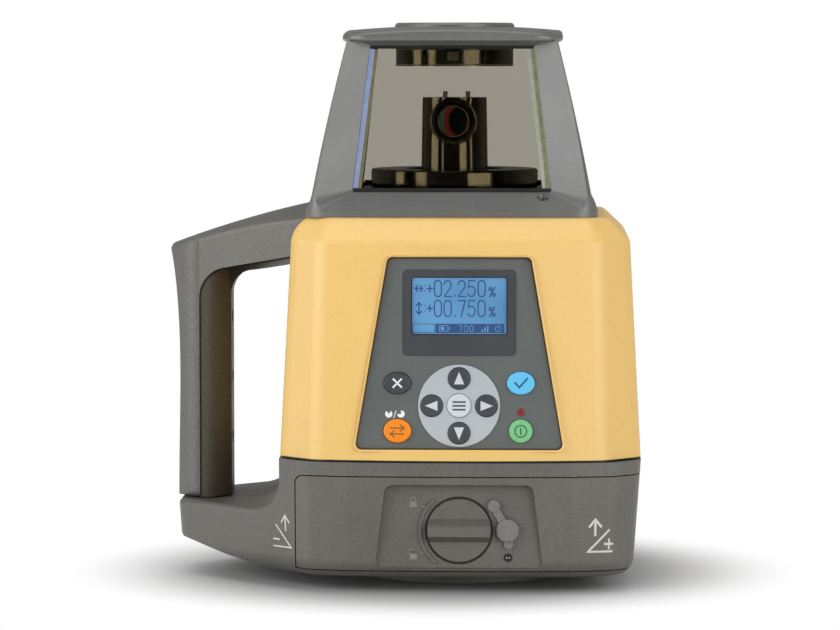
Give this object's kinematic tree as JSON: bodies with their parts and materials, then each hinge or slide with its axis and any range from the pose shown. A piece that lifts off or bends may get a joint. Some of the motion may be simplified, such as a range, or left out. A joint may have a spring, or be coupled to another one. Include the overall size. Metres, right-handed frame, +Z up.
{
  "type": "rotary laser level",
  "caption": "Rotary laser level: amber case on a grey base with a carry handle, a glazed beacon round a spinning laser head, a keypad with display and a slide-out battery box.",
  "frame": {"origin": "on the tripod thread's axis, in the resting face of the tripod plate", "axes": "+Z up along the tripod thread, -Y the front with the control panel, -X the carry handle"},
  "size_m": [0.2156, 0.174, 0.2535],
  "materials": {
    "amber_plastic": "fine satin grain",
    "grey_plastic": "fine grain",
    "grip_plastic": "fine grain",
    "beacon_plastic": "satin",
    "panel_film": "satin film",
    "bezel_plastic": "satin",
    "ring_plastic": "satin",
    "black_plastic": "gloss",
    "dark_key": "satin",
    "white_key": "satin",
    "blue_key": "satin",
    "orange_key": "satin",
    "green_key": "satin",
    "rubber": "matt",
    "black_rubber": "matt",
    "lamp_red": "gloss",
    "display": "flat",
    "smoked_glass": "polished",
    "lens_glass": "coated",
    "steel": "satin",
    "dark_steel": "blackened",
    "brass": "satin",
    "aluminium": "satin",
    "board": "satin",
    "cell_wrap": "satin"
  },
  "bodies": {
    "case": {"upper_case": "amber_plastic", "base_case": "grey_plastic", "case_seal": "black_rubber", "case_screws": "steel", "tripod_plate": "grey_plastic", "thread_insert": "brass", "handle_outer_shell": "grey_plastic", "handle_inner_grip": "grip_plastic", "handle_screws": "steel", "panel_plate": "panel_film", "key_ring": "ring_plastic", "display_frame": "bezel_plastic", "display_module": "display", "status_lamp": "lamp_red", "panel_board": "board", "beacon_frame": "beacon_plastic", "glass_front": "smoked_glass", "glass_right": "smoked_glass", "glass_rear": "smoked_glass", "glass_left": "smoked_glass", "top_cap": "beacon_plastic", "beacon_screws": "dark_steel", "top_hub": "black_plastic", "beacon_floor": "black_plastic", "chassis": "aluminium", "main_board": "board", "level_motor_x": "steel", "level_motor_y": "steel"},
    "gimbal": {"gimbal_ring": "aluminium"},
    "laser": {"laser_barrel": "aluminium", "laser_module": "brass", "collimator_lens": "lens_glass", "rotor_bearings": "steel", "spin_motor": "steel", "drive_belt": "black_rubber"},
    "rotor": {"rotor_housing": "black_plastic", "lens_ring": "black_plastic", "exit_lens": "lens_glass", "pentaprism": "lens_glass", "rotor_shaft": "steel", "driven_pulley": "aluminium"},
    "motor_spindle": {"motor_pulley": "aluminium"},
    "plunger_x": {"level_plunger_x": "brass"},
    "plunger_y": {"level_plunger_y": "brass"},
    "battery": {"battery_box": "grey_plastic", "battery_cells": "cell_wrap", "battery_contacts": "steel", "charge_jack": "black_plastic"},
    "dial": {"lock_dial": "grey_plastic", "lock_cam": "steel"},
    "jack_cover": {"jack_cap": "rubber"},
    "key_up": {"key_up": "dark_key"},
    "key_down": {"key_down": "dark_key"},
    "key_left": {"key_left": "dark_key"},
    "key_right": {"key_right": "dark_key"},
    "key_menu": {"key_menu": "white_key"},
    "key_escape": {"key_escape": "dark_key"},
    "key_enter": {"key_enter": "blue_key"},
    "key_axis": {"key_axis": "orange_key"},
    "key_power": {"key_power": "green_key"}
  },
  "joints": [
    {"name": "tilt_x", "type": "hinge", "parent": "case", "child": "gimbal", "pos_m": [-0.004, 0, 0.138], "axis": [1, 0, 0], "range_deg": [-5, 5]},
    {"name": "tilt_y", "type": "hinge", "parent": "gimbal", "child": "laser", "pos_m": [-0.004, 0, 0.138], "axis": [0, 1, 0], "range_deg": [-5, 5]},
    {"name": "rotor_spin", "type": "hinge", "parent": "laser", "child": "rotor", "pos_m": [-0.004, 0, 0.19], "axis": [0, 0, 1], "continuous": true},
    {"name": "motor_spin", "type": "hinge", "parent": "laser", "child": "motor_spindle", "pos_m": [-0.004, 0.05, 0.15], "axis": [0, 0, 1], "continuous": true},
    {"name": "plunger_x_lift", "type": "slide", "parent": "case", "child": "plunger_x", "axis": [0, 0, 1], "range_m": [-0.00254, 0.00254]},
    {"name": "plunger_y_lift", "type": "slide", "parent": "case", "child": "plunger_y", "axis": [0, 0, 1], "range_m": [-0.00254, 0.00254]},
    {"name": "battery_slide", "type": "slide", "parent": "case", "child": "battery", "axis": [0, -1, 0], "range_m": [0, 0.085]},
    {"name": "lock_turn", "type": "hinge", "parent": "battery", "child": "dial", "pos_m": [0, -0.0826, 0.0286], "axis": [0, -1, 0], "range_deg": [0, 90]},
    {"name": "jack_cap_swing", "type": "hinge", "parent": "battery", "child": "jack_cover", "pos_m": [0.01409, -0.0829, 0.04206], "axis": [-0.8745, 0, -0.485], "range_deg": [0, 95]},
    {"name": "key_up_press", "type": "slide", "parent": "case", "child": "key_up", "axis": [0, 0.9986, -0.0523], "range_m": [0, 0.0009], "stiffness_N_per_m": 400, "springref_m": -0.0005},
    {"name": "key_down_press", "type": "slide", "parent": "case", "child": "key_down", "axis": [0, 0.9986, -0.0523], "range_m": [0, 0.0009], "stiffness_N_per_m": 400, "springref_m": -0.0005},
    {"name": "key_left_press", "type": "slide", "parent": "case", "child": "key_left", "axis": [0, 0.9986, -0.0523], "range_m": [0, 0.0009], "stiffness_N_per_m": 400, "springref_m": -0.0005},
    {"name": "key_right_press", "type": "slide", "parent": "case", "child": "key_right", "axis": [0, 0.9986, -0.0523], "range_m": [0, 0.0009], "stiffness_N_per_m": 400, "springref_m": -0.0005},
    {"name": "key_menu_press", "type": "slide", "parent": "case", "child": "key_menu", "axis": [0, 0.9986, -0.0523], "range_m": [0, 0.0009], "stiffness_N_per_m": 400, "springref_m": -0.0005},
    {"name": "key_escape_press", "type": "slide", "parent": "case", "child": "key_escape", "axis": [0, 0.9986, -0.0523], "range_m": [0, 0.0009], "stiffness_N_per_m": 400, "springref_m": -0.0005},
    {"name": "key_enter_press", "type": "slide", "parent": "case", "child": "key_enter", "axis": [0, 0.9986, -0.0523], "range_m": [0, 0.0009], "stiffness_N_per_m": 400, "springref_m": -0.0005},
    {"name": "key_axis_press", "type": "slide", "parent": "case", "child": "key_axis", "axis": [0, 0.9986, -0.0523], "range_m": [0, 0.0009], "stiffness_N_per_m": 400, "springref_m": -0.0005},
    {"name": "key_power_press", "type": "slide", "parent": "case", "child": "key_power", "axis": [0, 0.9986, -0.0523], "range_m": [0, 0.0009], "stiffness_N_per_m": 400, "springref_m": -0.0005}
  ],
  "couplings": [
    {"joint": "motor_spin", "follows": "rotor_spin", "ratio": 2.7403},
    {"joint": "plunger_x_lift", "follows": "tilt_x", "m_per_rad": 0.029},
    {"joint": "plunger_y_lift", "follows": "tilt_y", "m_per_rad": -0.029}
  ]
}
